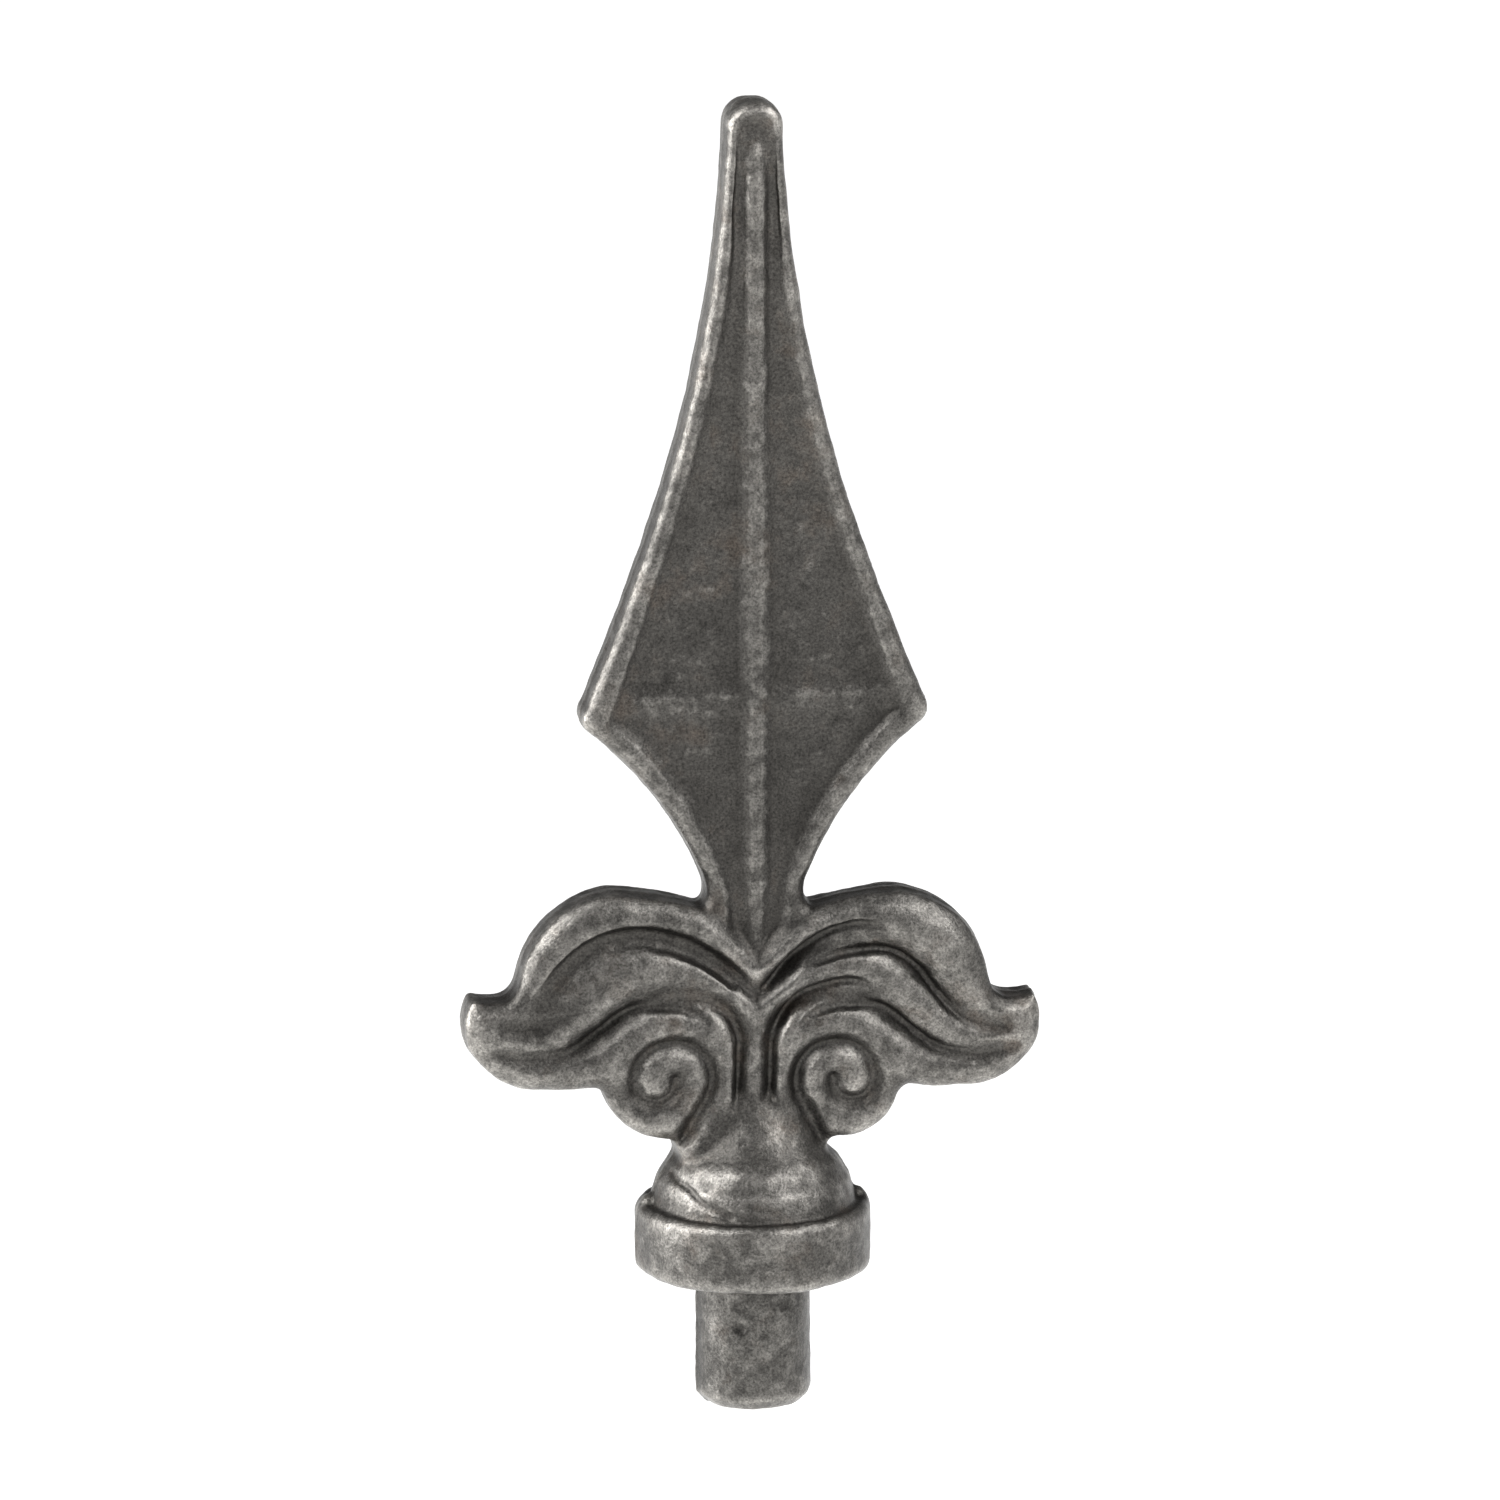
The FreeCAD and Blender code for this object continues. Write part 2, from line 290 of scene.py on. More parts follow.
@dataclass(frozen=True)
class Gouge:
    """One pull of a carver's gouge along a leaf, or one fold of the leaf.

    Its run is a list of points: across, up, and how deep the floor or the crest lies. It is a
    number of times deeper than wide.
    """

    name: str
    run: tuple[Spot, ...]
    radius: float
    stretch: float = 3.0
    skin: Skin = Skin.CUT


@dataclass
class LeafCarving:
    """The finer carving of the two leaf scrolls, on both faces.

    On the right wing a fold runs along the upper groove, with fine lines beside it. On the left
    wing the leaf is fuller, and one broad soft trough lies above it. Both have a hem below. The
    run of a stem's foot is a list of heights and depths.
    """

    lean: float = 1.7
    shift: float = -0.2
    middle_z: float = 28.15
    right_lines: tuple[Gouge, ...] = (
        Gouge("leaf_line", (
            (1.0, 31.3, 2.3), (3.3, 33.9, 3.1), (6.0, 36.2, 2.9), (8.7, 37.6, 2.4),
            (11.6, 38.0, 1.7), (14.4, 37.2, 0.3)), 0.6),
        Gouge("leaf_hem", (
            (4.9, 33.5, 1.0), (8.0, 34.6, 2.2), (11.0, 35.1, 2.8), (14.2, 35.0, 3.2),
            (17.0, 33.3, 3.3), (19.6, 30.2, 3.1), (22.3, 27.7, 2.3), (24.3, 26.6, 1.4)), 0.5),
        Gouge("low_line", (
            (2.2, 27.2, 2.5), (4.3, 30.0, 3.0), (7.0, 31.2, 2.8), (9.8, 31.9, 2.1),
            (12.4, 31.5, 0.6)), 0.55))
    left_trough: Gouge = Gouge("leaf_trough", (
        (1.8, 31.9, 1.8), (4.4, 33.8, 2.6), (6.8, 35.2, 2.8), (9.5, 36.2, 2.8), (12.2, 36.7, 2.7),
        (14.9, 36.5, 2.5), (17.7, 35.5, 2.3), (20.2, 33.4, 2.1), (21.9, 31.3, 1.8),
        (23.8, 29.3, 1.2), (25.6, 28.3, 0.3)), 1.25, 1.4)
    low_hem: Gouge = Gouge("low_hem", (
        (4.6, 27.0, 0.4), (5.8, 28.2, 1.2), (7.6, 29.0, 1.9), (10.6, 29.3, 2.3), (13.4, 28.9, 2.9),
        (16.6, 26.6, 3.1), (19.4, 24.6, 2.7), (22.4, 24.0, 1.9), (24.6, 24.3, 1.2)), 0.55, 2.6)
    right_fold: Gouge = Gouge("leaf_fold", (
        (3.4, 32.7, 2.4), (6.4, 35.0, 1.6), (9.6, 36.3, 1.2), (12.8, 36.4, 1.2),
        (15.8, 35.2, 2.0)), 0.8, 1.0, Skin.RAISED)
    left_middle: Gouge = Gouge("leaf_middle", (
        (7.6, 33.0, 1.0), (10.2, 34.0, 0.5), (13.2, 34.1, 0.3), (16.2, 33.1, 0.3),
        (18.6, 31.2, 0.4), (20.8, 29.0, 0.6), (23.0, 27.2, 1.2)), 1.7, 1.0, Skin.RAISED)
    foot_across: float = 1.45
    foot_radius: float = 1.3
    foot_run: tuple[Span, ...] = ((16.0, 1.6), (17.9, 1.8), (19.4, 2.7), (21.0, 3.6))

    def on_leaf(self, side: Side, face: Face, across: float, up: float, depth: float) -> Spot:
        """A place in or on a leaf, with the wings' slight lean.

        Args:
            side: the wing.
            face: front or back.
            across: distance from the middle plane.
            up: height above the collar's seat.
            depth: distance below the leaf's face, less than nought when it lies outside.

        Returns:
            The place in millimetres.
        """
        lean = math.radians(self.lean)
        x, z = side.value * across, up - self.middle_z
        return (x * math.cos(lean) + z * math.sin(lean) + self.shift,
                face.value * (WING_HALF_DEPTH - depth),
                z * math.cos(lean) - x * math.sin(lean) + self.middle_z)

    def worked(self, gouge: Gouge, side: Side, face: Face) -> bpy.types.Object:
        """Makes one gouge line or fold on one leaf.

        Args:
            gouge: what it is.
            side: the wing.
            face: front or back.

        Returns:
            A closed mesh, whose deepest or highest line follows the run.
        """
        sink = gouge.radius * (-gouge.stretch if gouge.skin is Skin.CUT else 1.0)
        spots = [self.on_leaf(side, face, across, up, depth + sink)
                 for across, up, depth in gouge.run]
        return stroke(f"{gouge.name}_{side.name}_{face.name}", spots, gouge.radius,
                      stretch=gouge.stretch)

    def cuts(self) -> list[bpy.types.Object]:
        """Makes the gouge lines: fine ones on the right wing, one broad soft one on the left.

        Returns:
            Closed meshes to cut with.
        """
        cutters = []
        for face in Face:
            cutters += [self.worked(line, Side.RIGHT, face) for line in self.right_lines]
            cutters.append(self.worked(self.left_trough, Side.LEFT, face))
            cutters += [self.worked(self.low_hem, side, face) for side in Side]
        return cutters

    def folds(self) -> list[bpy.types.Object]:
        """Makes the fold in the right wing's big groove, and the fuller leaf of the left wing.

        Returns:
            Closed meshes to add.
        """
        return [self.worked(fold, side, face) for face in Face
                for fold, side in ((self.right_fold, Side.RIGHT), (self.left_middle, Side.LEFT))]

    def stem_feet(self) -> list[bpy.types.Object]:
        """Makes the fills that let the two stem grooves run out into the bulb's neck.

        Returns:
            Closed meshes to add.
        """
        return [stroke(f"stem_foot_{side.name}_{face.name}",
                       [self.on_leaf(side, face, self.foot_across, up, depth)
                        for up, depth in self.foot_run], self.foot_radius)
                for side in Side for face in Face]


@dataclass
class CastingMarks:
    """The faults that this casting shows, and the blade's ribs, dressed fuller and crisper.

    The runs of the ribs are lists of points: a run along the rib's head gives height and depth,
    and one along its side gives the distance from the middle plane first.
    """

    bulb_radius: float = 10.1
    bulb_offset: float = 1.0
    bulb_z: float = 5.8
    gap_ring: float = 11.3
    gap_z: float = 7.75
    gap_radius: float = 0.5
    cross_rib_run: tuple[float, ...] = (-14.0, -9.0, -4.0, 4.0, 9.0, 14.0)
    cross_rib_depth: float = 1.3
    cross_rib_radius: float = 1.45
    cross_rib_ends: float = 0.7
    cross_rib_z: float = 62.6
    rib_head_run: tuple[Span, ...] = (
        (72.0, 2.0), (84.0, 2.15), (98.0, 2.25), (110.0, 2.25), (119.0, 2.1), (124.3, 1.0))
    rib_head_radius: float = 1.25
    rib_head_ends: float = 0.8
    rib_side_run: tuple[Spot, ...] = (
        (2.5, 80.0, 3.0), (2.35, 90.0, 2.75), (2.2, 101.0, 2.65), (2.0, 111.0, 2.65),
        (1.75, 118.0, 2.7), (1.2, 124.0, 3.2))
    rib_side_radius: float = 0.6

    def on_bulb(self, angle: float, z: float, proud: float) -> Spot:
        """A place on the bulb.

        Args:
            angle: degrees round from the front, to the right seen from there.
            z: height above the collar's seat.
            proud: how far outside the bulb's skin.

        Returns:
            The place in millimetres.
        """
        reach = self.bulb_offset + math.sqrt(self.bulb_radius ** 2 - (z - self.bulb_z) ** 2)
        turn = math.radians(angle)
        return (reach + proud) * math.sin(turn), -(reach + proud) * math.cos(turn), z

    def cuts(self) -> list[bpy.types.Object]:
        """Makes pits, laps, the nick in the rim, the chisel mark and the gap over the collar.

        Returns:
            Closed meshes to cut with.
        """
        bpy.ops.mesh.primitive_torus_add(
            major_radius=self.gap_ring * MM, minor_radius=self.gap_radius * MM,
            major_segments=120, minor_segments=16, location=(0.0, 0.0, self.gap_z * MM))
        gap = bpy.context.active_object
        gap.name = "collar_gap"
        bpy.ops.object.transform_apply(location=True, rotation=True, scale=True)
        return [
            gap,
            blister("spigot_pit", (-2.5, -5.8, -5.4), (0.95, 0.75, 0.65), 12.0),
            blister("spigot_small_pit", (2.6, -5.75, -3.3), (0.55, 0.5, 0.35)),
            blister("rim_nick", (-10.5, -3.5, 83.9), (0.5, 0.45, 0.9), 18.0),
            stroke("chisel_mark", [(-1.5, -3.5, 62.6), (-0.6, -3.45, 62.9), (0.3, -3.5, 62.7)], 0.35),
            stroke("shoulder_lap", [(9.3, -2.55, 60.9), (7.9, -2.5, 59.6), (7.3, -2.45, 57.8),
                                    (7.9, -2.55, 55.6), (8.6, -2.7, 54.2)], 0.5),
            blister("shoulder_hollow", (10.2, -2.9, 58.0), (1.6, 0.85, 1.3), 25.0),
            stroke("bulb_lap", [self.on_bulb(-80, 11.4, 0.0), self.on_bulb(-66, 10.9, 0.0),
                                self.on_bulb(-52, 10.3, -0.1), self.on_bulb(-44, 9.6, -0.1),
                                self.on_bulb(-30, 8.7, -0.1), self.on_bulb(-20, 8.0, 0.0)], 0.42),
            blister("bulb_pit", self.on_bulb(31, 12.3, 0.3), (0.6, 0.45, 0.4), -20.0),
            blister("collar_pit", (6.3, -11.0, 3.1), (0.45, 0.4, 0.35)),
            blister("leaf_pit", (24.2, -4.7, 25.6), (0.4, 0.4, 0.35)),
            blister("panel_pit", (5.2, -2.7, 79.0), (0.5, 0.6, 0.45)),
            blister("back_panel_pit", (-4.6, 2.7, 71.0), (0.5, 0.6, 0.4)),
            blister("back_spigot_pit", (1.8, 5.85, -7.2), (0.7, 0.6, 0.5)),
        ]

    def raised(self) -> list[bpy.types.Object]:
        """Makes blisters on the skin, and the full crests of the cross rib and of the rib's head.

        Returns:
            Closed meshes to add.
        """
        return [
            blister("shoulder_bump", (11.4, -2.1, 60.3), (0.8, 0.4, 0.6), 30.0),
            blister("rib_burr", (0.9, -3.05, 62.9), (0.45, 0.45, 0.35)),
        ] + [
            stroke(f"cross_rib_{face.name}",
                   [(x, face.value * self.cross_rib_depth, self.cross_rib_z)
                    for x in self.cross_rib_run], self.cross_rib_radius, self.cross_rib_ends)
            for face in Face
        ] + [
            stroke(f"rib_head_{face.name}",
                   [(0.0, face.value * depth, z) for z, depth in self.rib_head_run],
                   self.rib_head_radius, self.rib_head_ends)
            for face in Face]

    def rib_sides(self) -> list[bpy.types.Object]:
        """Makes the cuts that set the rib's upper half off from the panels.

        Returns:
            Closed meshes to cut with.
        """
        return [stroke(f"rib_side_{side.name}_{face.name}",
                       [(side.value * x, face.value * depth, z)
                        for x, z, depth in self.rib_side_run], self.rib_side_radius)
                for side in Side for face in Face]


@dataclass
class Flash:
    """Metal that ran into the parting plane: a thin seam all round, and ears on the collar."""

    plane_y: float = 0.03
    merge_reach: float = 0.05
    seam_radius: float = 0.24
    ear_reach: float = 11.35
    ear_z: float = 7.35
    ear_sizes: Spot = (1.25, 1.2, 0.85)
    ear_turn: float = 38.0

    def seam(self, casting: bpy.types.Object) -> bpy.types.Object:
        """A bead along the casting's outline in the parting plane.

        Args:
            casting: the merged solid.

        Returns:
            The bead, a closed tube.
        """
        bead = twin(casting, "parting_seam")
        only(bead)
        bpy.ops.object.mode_set(mode="EDIT")
        bpy.ops.mesh.select_all(action="SELECT")
        bpy.ops.mesh.bisect(plane_co=(0.0, self.plane_y * MM, 0.0), plane_no=(0.0, 1.0, 0.0),
                            clear_inner=True, clear_outer=True)
        bpy.ops.mesh.select_all(action="SELECT")
        bpy.ops.mesh.remove_doubles(threshold=self.merge_reach * MM)
        bpy.ops.object.mode_set(mode="OBJECT")
        bpy.ops.object.convert(target="CURVE")
        bead.data.bevel_depth = self.seam_radius * MM
        bead.data.bevel_resolution = 2
        bead.data.use_fill_caps = True
        bpy.ops.object.convert(target="MESH")
        return bead

    def ears(self) -> list[bpy.types.Object]:
        """Makes the lumps where the seam crosses the collar's upper edge.

        Returns:
            Closed meshes to add.
        """
        return [blister(f"collar_ear_{side.name}",
                        (side.value * self.ear_reach, 0.0, self.ear_z),
                        self.ear_sizes, side.value * self.ear_turn) for side in Side]


@dataclass(frozen=True)
class Mottle:
    """One pattern in the iron's skin.

    Its size is in millimetres. Its tone says which values of the pattern are darkest and
    lightest, and what the colour is multiplied by there.
    """

    size: float
    detail: float
    roughness: float
    tone: LongSpan

    def share(self, tree: bpy.types.NodeTree, pattern: bpy.types.NodeSocket) -> bpy.types.NodeSocket:
        """Turns the pattern to what the colour is multiplied by.

        Args:
            tree: the finish's nodes.
            pattern: the noise of this size.

        Returns:
            The factor.
        """
        low, high, dark, light = self.tone
        return add_node(tree, "ShaderNodeMapRange", {
            FROM_MIN: low, FROM_MAX: high, TO_MIN: dark, TO_MAX: light},
            {VALUE: pattern}).outputs["Result"]


@dataclass(frozen=True)
class AsCastIron:
    """Grey iron as it left a green-sand mould, tumbled but never painted.

    Its oxide skin is nearly black where sand lay in the hollows, and that colour is also painted
    shade where shade falls in them. Bare grey metal shows on ridges that rub against others. The
    eye sees a matt, peppery grain, brighter on every crest.
    Real sand grains are about 0.2 mm, drawn a little coarser so that they show. The height light
    and shade is a list of heights with the factor on the colour there: painted light above one,
    painted shade below it.
    """

    # Oxide in the hollows, and the painted shade that falls there
    hollow_oxide_and_shade: str = "3e3c39"
    body: str = "575552"
    crest: str = "96938e"
    rust: str = "54473c"
    metallic: float = 0.85
    roughness_worn: float = 0.30
    roughness_skin: float = 0.39
    grain: Mottle = Mottle(0.27, 3.0, 0.7, (0.32, 0.68, 0.5, 1.62))
    stains: Mottle = Mottle(5.0, 6.0, 0.65, (0.36, 0.56, 0.78, 1.05))
    sand: Mottle = Mottle(1.1, 4.0, 0.6, (0.3, 0.7, 0.92, 1.08))
    sand_height: float = 0.14
    sand_bump: float = 0.5
    grain_height: float = 0.06
    grain_bump: float = 0.9
    # Relief range from the painted-shade hollows to the body colour
    shaded_hollow_to_body: Span = (-0.45, 0.35)
    rust_from_to: Span = (0.54, 0.72)
    rust_most: float = 0.35
    bare_from_to: Span = (0.02, 0.19)
    # Painted light and shade by height, as factors on the colour
    height_light_and_shade_top: float = 1.2
    height_light_and_shade: tuple[Span, ...] = (
        (-3.0, 0.76), (1.0, 0.90), (8.0, 0.98), (12.0, 1.15), (20.0, 0.99), (40.0, 0.96),
        (50.0, 0.87), (70.0, 0.88), (90.0, 1.04), (108.0, 1.18))

    def oxide(self, tree: bpy.types.NodeTree, stains: bpy.types.NodeSocket) -> bpy.types.NodeSocket:
        """Colours the oxide skin, with painted shade in its hollows.

        Args:
            tree: the finish's nodes.
            stains: the pattern of its stains.

        Returns:
            The colour where nothing has rubbed it.
        """
        # Height over the neighbourhood, broken up by the stains, sorts hollows from body: the hollows
        # get dark oxide and painted shade
        low, high = self.shaded_hollow_to_body
        relief = add_node(tree, "ShaderNodeAttribute", {"attribute_name": "relief"})
        lifted = add_node(tree, "ShaderNodeMath", {"operation": "MULTIPLY_ADD", 1: 0.3, 2: -0.15},
                          {0: stains})
        height = add_node(tree, "ShaderNodeMath", {"operation": "ADD"},
                          {0: relief.outputs["Fac"], 1: lifted.outputs["Value"]})
        body = add_node(tree, "ShaderNodeMapRange", {FROM_MIN: low, FROM_MAX: high},
                        {VALUE: height.outputs["Value"]})
        tone = add_node(tree, "ShaderNodeMix", {
            "data_type": "RGBA", COLOUR_A: linear(self.hollow_oxide_and_shade), COLOUR_B: linear(self.body)},
            {FACTOR: body.outputs["Result"]})

        # A breath of brown where the oxide is thickest
        low, high = self.rust_from_to
        bloom = add_node(tree, "ShaderNodeMapRange", {
            FROM_MIN: low, FROM_MAX: high, TO_MAX: self.rust_most}, {VALUE: stains})
        rusty = add_node(tree, "ShaderNodeMix", {"data_type": "RGBA", COLOUR_B: linear(self.rust)},
                         {FACTOR: bloom.outputs["Result"], COLOUR_A: tone.outputs[MIXED]})
        return rusty.outputs[MIXED]

    def wear(self, tree: bpy.types.NodeTree, sand: bpy.types.NodeSocket) -> bpy.types.NodeSocket:
        """Finds the crests that are rubbed bare, unevenly, in step with the sand's lumps.

        Args:
            tree: the finish's nodes.
            sand: the pattern of the sand's lumps.

        Returns:
            The share of bare metal.
        """
        low, high = self.bare_from_to
        edge = add_node(tree, "ShaderNodeAttribute", {"attribute_name": "edge"})
        rubbed = add_node(tree, "ShaderNodeMath", {"operation": "MULTIPLY_ADD", 1: 0.16, 2: -0.08},
                          {0: sand})
        bare = add_node(tree, "ShaderNodeMath", {"operation": "ADD"},
                        {0: edge.outputs["Fac"], 1: rubbed.outputs["Value"]})
        worn = add_node(tree, "ShaderNodeMapRange", {FROM_MIN: low, FROM_MAX: high},
                        {VALUE: bare.outputs["Value"]})
        return worn.outputs["Result"]

    def painted_light_by_height(self, tree: bpy.types.NodeTree, place: bpy.types.NodeSocket) -> bpy.types.NodeSocket:
        """Paints light and shade by height: the colour is lifted on the bulb and near the blade's tip,
        and lowered on the spigot's end and the blade's middle.

        Args:
            tree: the finish's nodes.
            place: a point's place on the casting.

        Returns:
            The painted light and shade: a factor to multiply the colour with.
        """
        low, high = self.height_light_and_shade[0][0], self.height_light_and_shade[-1][0]
        split = add_node(tree, "ShaderNodeSeparateXYZ", links={0: place})
        height = add_node(tree, "ShaderNodeMapRange", {FROM_MIN: low * MM, FROM_MAX: high * MM},
                          {VALUE: split.outputs["Z"]})
        ramp = add_node(tree, "ShaderNodeValToRGB", links={0: height.outputs["Result"]})
        stops = ramp.color_ramp.elements
        for z, _ in self.height_light_and_shade[1:-1]:
            stops.new((z - low) / (high - low))
        for stop, (_, shade) in zip(stops, self.height_light_and_shade):
            stop.color = (shade / self.height_light_and_shade_top,) * 3 + (1.0,)
        # Painted light and shade: the ramp's grey scaled back up to the factor
        painted_height_shading = add_node(tree, "ShaderNodeMath", {"operation": "MULTIPLY", 1: self.height_light_and_shade_top},
                           {0: ramp.outputs["Color"]})
        return painted_height_shading.outputs["Value"]

    def material(self) -> bpy.types.Material:
        """Builds the finish.

        Returns:
            The material.
        """
        finish = bpy.data.materials.new("as_cast_grey_iron")
        finish.use_nodes = True
        tree = finish.node_tree
        tree.nodes.clear()
        place = add_node(tree, "ShaderNodeTexCoord").outputs["Object"]
        grain, stains, sand = [
            add_node(tree, "ShaderNodeTexNoise", {
                "Scale": 1.0 / (mottle.size * MM), "Detail": mottle.detail,
                "Roughness": mottle.roughness}, {"Vector": place}).outputs["Fac"]
            for mottle in (self.grain, self.stains, self.sand)]
        worn = self.wear(tree, sand)
        colour = add_node(tree, "ShaderNodeMix", {"data_type": "RGBA", COLOUR_B: linear(self.crest)},
                          {FACTOR: worn, COLOUR_A: self.oxide(tree, stains)}).outputs[MIXED]

        # Every grain is a little lighter or darker than the next, and every patch of skin too; the last
        # factor is painted light and shade by height
        shade = self.sand.share(tree, sand)
        for share in (self.stains.share(tree, stains), self.grain.share(tree, grain),
                      self.painted_light_by_height(tree, place)):
            shade = add_node(tree, "ShaderNodeMath", {"operation": "MULTIPLY"},
                             {0: shade, 1: share}).outputs["Value"]
        shaded = add_node(tree, "ShaderNodeVectorMath", {"operation": "SCALE"},
                          {0: colour, "Scale": shade})

        rough = add_node(tree, "ShaderNodeMapRange", {
            TO_MIN: self.roughness_skin, TO_MAX: self.roughness_worn}, {VALUE: worn})
        lumps = add_node(tree, "ShaderNodeBump", {
            "Strength": self.sand_bump, "Distance": self.sand_height * MM}, {"Height": sand})
        grit = add_node(tree, "ShaderNodeBump", {
            "Strength": self.grain_bump, "Distance": self.grain_height * MM},
            {"Height": grain, "Normal": lumps.outputs["Normal"]})
        shader = add_node(tree, "ShaderNodeBsdfPrincipled", {"Metallic": self.metallic}, {
            "Base Color": shaded.outputs["Vector"], "Roughness": rough.outputs["Result"],
            "Normal": grit.outputs["Normal"]})
        add_node(tree, "ShaderNodeOutputMaterial", links={"Surface": shader.outputs["BSDF"]})
        return finish


@dataclass(frozen=True)
class StudioPaper:
    """Seamless white paper, matt, with no grain that shows at this distance."""

    colour: str = "f2f2f0"
    roughness: float = 0.9
    lift: float = 0.95

    def material(self) -> bpy.types.Material:
        """Builds the paper: lit by the lamps, and lifted to white for camera and reflections.

        Returns:
            The material.
        """
        finish = bpy.data.materials.new("white_studio_paper")
        finish.use_nodes = True
        tree = finish.node_tree
        tree.nodes.clear()
        paper = add_node(tree, "ShaderNodeBsdfPrincipled", {
            "Base Color": linear(self.colour), "Roughness": self.roughness})
        path = add_node(tree, "ShaderNodeLightPath")
        glossy = add_node(tree, "ShaderNodeMath", {"operation": "MAXIMUM"}, {
            0: path.outputs["Is Glossy Ray"], 1: path.outputs["Is Transmission Ray"]})
        seen = add_node(tree, "ShaderNodeMath", {"operation": "MAXIMUM"}, {
            0: path.outputs["Is Camera Ray"], 1: glossy.outputs["Value"]})
        strength = add_node(tree, "ShaderNodeMath", {"operation": "MULTIPLY", 1: self.lift},
                            {0: seen.outputs["Value"]})
        glow = add_node(tree, "ShaderNodeEmission", {"Color": (1.0, 1.0, 1.0, 1.0)},
                        {"Strength": strength.outputs["Value"]})
        both = add_node(tree, "ShaderNodeAddShader", links={
            0: paper.outputs["BSDF"], 1: glow.outputs["Emission"]})
        add_node(tree, "ShaderNodeOutputMaterial", links={"Surface": both.outputs["Shader"]})
        return finish


@dataclass
class Casting:
    """The whole finial as one piece of cast metal.

    Passes say how often points are averaged with their neighbours. A span says where along a
    height or a width a share begins and is full, and a long one also where it wanes and ends.
    """

    merge_reach: float = 0.001
    voxel: float = 0.22
    edge_passes: int = 14
    weight_steps: int = 25
    neck_passes: int = 70
    neck_span: LongSpan = (11.5, 13.5, 17.0, 19.6)
    neck_width: Span = (8.5, 10.5)
    collar_passes: int = 40
    collar_span: LongSpan = (5.0, 6.4, 8.0, 8.6)
    collar_width: Span = (11.6, 12.1)
    head_passes: int = 26
    head_span: Span = (78.0, 90.0)
    leaf_passes: int = 64
    leaf_span: LongSpan = (14.5, 18.0, 41.0, 44.5)
    stem_width: Span = (3.5, 6.5)
    stem_share: float = 0.25
    left_to_right: Span = (-5.0, 5.0)
    right_share: float = 0.38
    eye: tuple[float, float] = (8.0, 21.7)
    eye_soft_span: Span = (4.5, 7.0)
    eye_soft_share: float = 0.85
    swell_passes: int = 300
    swell_pull: float = 0.9
    swell_share: float = 0.72
    eye_swell_span: Span = (4.5, 8.0)
    eye_share: float = 0.45
    blade_span: Span = (40.0, 44.0)
    blade_share: float = 0.24
    plan_zone: Span = (10.0, 60.0)
    plan_left: float = 40.0
    plan_cells: tuple[int, int] = (160, 140)
    crown_cell: float = 0.5
    crown_cells: int = 20
    crown_reach: float = 2.6
    crown_full: float = 0.97
    crown_slope: float = 0.47
    crown_span: LongSpan = (17.0, 21.0, 40.0, 44.0)
    crown_fall: float = 1.05
    wave_length: float = 5.0
    wave_height: float = 0.30
    skin_length: float = 1.5
    skin_height: float = 0.12
    triangles: int = 190000
    near_passes: int = 30
    far_passes: int = 170

    def blank(self, node: bpy.types.Object) -> bpy.types.Object:
        """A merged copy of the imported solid.

        Args:
            node: the solid's own object, which is left alone.

        Returns:
            The copy.
        """
        copy = twin(node, "finial_casting")
        only(copy)
        bpy.ops.object.mode_set(mode="EDIT")
        bpy.ops.mesh.select_all(action="SELECT")
        bpy.ops.mesh.remove_doubles(threshold=self.merge_reach * MM)
        bpy.ops.object.mode_set(mode="OBJECT")
        bpy.ops.mesh.customdata_custom_splitnormals_clear()
        return copy

    def work(self, casting: bpy.types.Object) -> None:
        """Cuts the fine lines and faults, and adds folds, flash and blisters.

        Args:
            casting: the merged copy.
        """
        flash = Flash()
        marks = CastingMarks()
        leaves = LeafCarving()
        fill = joined(leaves.folds() + leaves.stem_feet(), "fill")
        added = [flash.seam(casting)] + flash.ears() + marks.raised()
        cutter = joined(leaves.cuts() + marks.cuts() + marks.rib_sides(), "carving")
        for tool, operation in ((fill, "UNION"), (cutter, "DIFFERENCE")):
            apply_modifier(casting, "BOOLEAN", operation=operation, solver="EXACT",
                           object=tool, use_self=True)
            bpy.data.objects.remove(tool)
        joined([casting] + added, "finial_casting")
        log.info("carved: %d faces", len(casting.data.polygons))

    def spots(self, piece: bpy.types.Object) -> np.ndarray:
        """Reads every point of a piece.

        Args:
            piece: the mesh object.

        Returns:
            One row for each point, in millimetres.
        """
        flat = np.zeros(len(piece.data.vertices) * 3, np.float32)
        piece.data.vertices.foreach_get("co", flat)
        return flat.reshape(-1, 3) / MM

    def smooth_where(self, piece: bpy.types.Object, weights: np.ndarray, passes: int,
                     factor: float = HALF_WAY, **settings: object) -> None:
        """Smooths a piece, more in some places than in others.

        Args:
            piece: the finely meshed skin.
            weights: a share from nought to one for each point.
            passes: how often the neighbours are averaged.
            factor: how far a point goes to its neighbours' mean in one pass.
            settings: more values for the smoothing, by name.
        """
        group = piece.vertex_groups.new(name="softer")
        steps = np.round(weights * self.weight_steps).astype(int)
        for step in range(1, self.weight_steps + 1):
            group.add(np.nonzero(steps == step)[0].tolist(), step / self.weight_steps, "REPLACE")
        apply_modifier(piece, "SMOOTH", factor=factor, iterations=passes, vertex_group=group.name,
                       **settings)
        piece.vertex_groups.remove(piece.vertex_groups["softer"])

